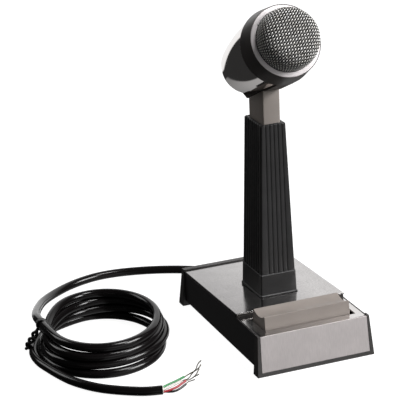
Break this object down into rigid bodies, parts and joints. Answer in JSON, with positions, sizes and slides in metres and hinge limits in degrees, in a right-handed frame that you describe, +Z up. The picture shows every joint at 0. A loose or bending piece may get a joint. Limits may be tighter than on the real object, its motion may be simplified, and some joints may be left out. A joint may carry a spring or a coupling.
{
  "type": "desk microphone",
  "caption": "Desk microphone: weighted base with a press-to-talk bar, tapered column, telescoping neck, tilted domed-grille head and a coiled cable with bare ends.",
  "frame": {"origin": "centre of the base's footprint, on the desk", "axes": "+Z up along the column, -Y towards the user, where the talk bar and grille face, +X to the right seen by the user's side of the front panel"},
  "size_m": [0.2435, 0.2467, 0.2721],
  "materials": {
    "black_shell": "semi-gloss near-black paint on die-cast metal",
    "steel": "zinc-plated sheet steel",
    "screws": "bright plated screw",
    "rubber": "matt black rubber",
    "speckled_plate": "light grey metal with a fine speckled texture, satin",
    "deck": "satin grey metal",
    "bezel": "dark grey moulding, satin",
    "front_panel": "satin brushed aluminium",
    "iron": "cast iron, dull",
    "talk_bar": "satin taupe-grey paint",
    "column": "very dark grey plastic, satin",
    "neck": "satin taupe-grey paint",
    "saddle": "dark grey-brown plastic, satin",
    "chrome": "bright chrome plate",
    "band": "dark grey-brown plastic, satin",
    "silver_ring": "light satin silver",
    "wire_mesh": "woven steel wire",
    "foam": "open black foam",
    "phenolic": "brown phenolic board",
    "copper": "enamelled copper winding",
    "brass": "brass",
    "nylon": "natural nylon",
    "switch_black": "moulded switch case",
    "diaphragm": "thin clear film",
    "cable": "glossy black PVC",
    "tie": "black plastic-coated twist tie",
    "wire_green": "green insulation",
    "wire_white": "white insulation",
    "wire_red": "red insulation",
    "wire_black": "black insulation"
  },
  "bodies": {
    "root": {"base_shell": "black_shell", "bottom_plate": "steel", "rubber_feet": "rubber", "bottom_screws": "screws", "top_plate": "speckled_plate", "switch_deck": "deck", "front_bezel": "bezel", "front_panel": "front_panel", "rear_bezel": "bezel", "rear_panel": "black_shell", "ballast_weight": "iron", "pivot_bracket": "steel", "hinge_pin": "screws", "return_spring": "screws", "switch_body": "switch_black", "switch_terminals": "brass", "transformer_core": "iron", "transformer_bobbin": "copper", "terminal_strip": "phenolic", "terminal_screws": "brass", "column_bracket": "steel", "guide_tube": "steel", "column_shell": "column", "column_screws": "screws", "column_bush": "column", "strain_relief": "rubber", "cable_clamp": "steel", "cable_lead": "cable", "cable_coil": "cable", "cable_tail": "cable", "coil_tie": "tie", "wire_green": "wire_green", "wire_white": "wire_white", "wire_red": "wire_red", "wire_black": "wire_black"},
    "head": {"neck_tube": "neck", "neck_shoe": "nylon", "friction_spring": "screws", "head_saddle": "saddle", "saddle_screws": "screws", "rear_shell": "chrome", "head_band": "band", "front_ring": "silver_ring", "grille": "wire_mesh", "wind_foam": "foam", "shock_ring": "rubber", "cartridge_body": "steel", "cartridge_cap": "steel", "diaphragm": "diaphragm", "magnet": "iron", "pole_cup": "steel"},
    "lever": {"ptt_lever": "steel"},
    "bar": {"ptt_bar": "talk_bar", "bar_screws": "screws"},
    "plunger": {"switch_plunger": "nylon"}
  },
  "joints": [
    {"name": "height_slide", "type": "slide", "parent": "root", "child": "head", "axis": [0, 0, 1], "range_m": [-0.012, 0.034]},
    {"name": "talk_press", "type": "hinge", "parent": "root", "child": "lever", "pos_m": [0, -0.014, 0.021], "axis": [1, 0, 0], "range_deg": [0, 3], "stiffness_Nm_per_rad": 0.8, "springref_deg": -5.73, "deforming": ["return_spring"]},
    {"name": "bar_lock", "type": "slide", "parent": "lever", "child": "bar", "axis": [1, 0, 0], "range_m": [0, 0.003]},
    {"name": "plunger_press", "type": "slide", "parent": "root", "child": "plunger", "axis": [0, 0, -1], "range_m": [0, 0.001]}
  ],
  "couplings": [
    {"joint": "plunger_press", "follows": "talk_press", "m_per_rad": 0.018}
  ]
}
